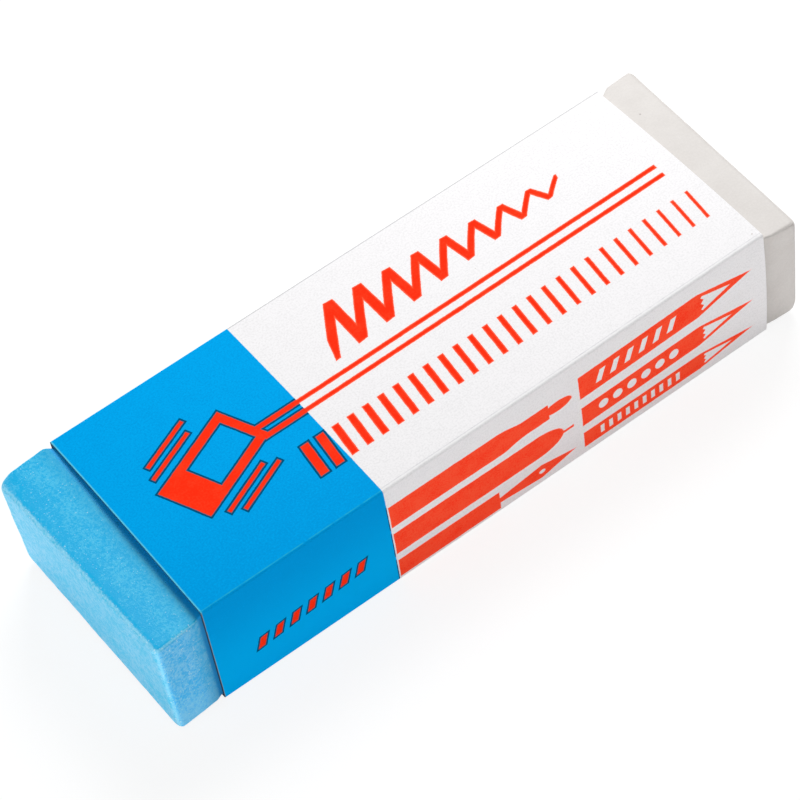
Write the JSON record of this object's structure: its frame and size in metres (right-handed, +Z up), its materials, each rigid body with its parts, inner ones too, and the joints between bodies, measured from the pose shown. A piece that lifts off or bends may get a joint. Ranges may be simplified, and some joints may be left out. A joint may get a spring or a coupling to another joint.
{
  "type": "vinyl eraser",
  "caption": "Rectangular vinyl eraser with an abrasive blue end and a soft off-white end, in a printed card sleeve that slides along it and off it.",
  "frame": {"origin": "bottom centre of the bounding box: under the middle of the block, on the surface that the sleeve lies on", "axes": "+X along the block from the blue end to the off-white end, +Y across it to the rear narrow side, +Z up through the printed top panel"},
  "size_m": [0.065, 0.0221, 0.0126],
  "materials": {
    "blue_vinyl": "matte",
    "off_white_vinyl": "matte",
    "printed_card": "satin"
  },
  "bodies": {
    "block": {"blue_end": "blue_vinyl", "grey_end": "off_white_vinyl"},
    "sleeve": {"sleeve": "printed_card"}
  },
  "joints": [
    {"name": "sleeve_slide", "type": "slide", "parent": "block", "child": "sleeve", "axis": [1, 0, 0], "range_m": [-0.0625, 0.061]}
  ]
}
